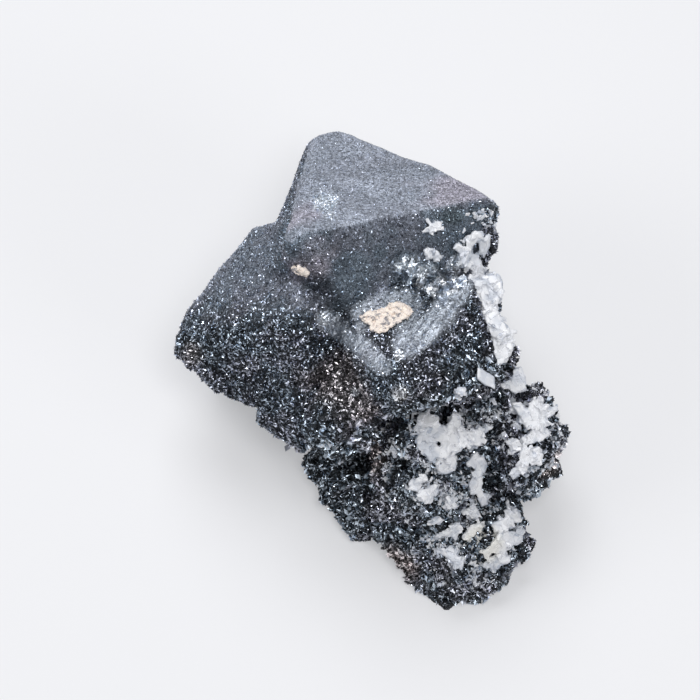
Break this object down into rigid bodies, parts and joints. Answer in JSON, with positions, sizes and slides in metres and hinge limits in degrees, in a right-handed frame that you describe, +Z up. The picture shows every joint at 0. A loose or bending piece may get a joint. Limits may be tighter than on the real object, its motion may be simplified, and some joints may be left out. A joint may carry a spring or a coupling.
{
  "type": "hematite pseudomorph specimen",
  "caption": "Hand-size mineral specimen: intergrown octahedra of hematite after magnetite with a sparkling sugary skin and white translucent crystals; lies on its flat cut back.",
  "frame": {"origin": "centre of the specimen's box, on the flat cut of its back that it rests on", "axes": "+Z up out of the crystal face, +Y along the specimen's length towards the tall crystal, +X to its right"},
  "size_m": [0.0458, 0.054, 0.0324],
  "materials": {
    "hematite": "blue-grey metallic micro-crystals, fine on the upper faces, coarse and glittering below",
    "white_mineral": "milky translucent crystals with flat satin faces",
    "cream_mineral": "matt granular crust"
  },
  "bodies": {
    "root": {"hematite_cluster": "hematite", "white_cluster_centre": "white_mineral", "white_shield_centre": "white_mineral", "white_rhomb_right": "white_mineral", "white_plates_shoulder": "white_mineral", "white_cluster_lobe": "white_mineral", "white_plates_lobe_low": "white_mineral", "white_hexagon_lobe": "white_mineral", "white_grain_right": "white_mineral", "white_grain_below_tip": "white_mineral", "white_cluster_bottom": "white_mineral", "white_wedge_low": "white_mineral", "white_blade_low": "white_mineral", "white_patch_bottom": "white_mineral", "white_flake_left": "white_mineral", "white_spikes_left": "white_mineral", "white_patch_left": "white_mineral", "white_plate_middle": "white_mineral", "white_plate_low": "white_mineral", "white_plate_upper": "white_mineral", "white_fork_slope": "white_mineral", "white_ridge_right": "white_mineral", "cream_crust": "cream_mineral", "cream_speck": "cream_mineral"}
  },
  "joints": []
}
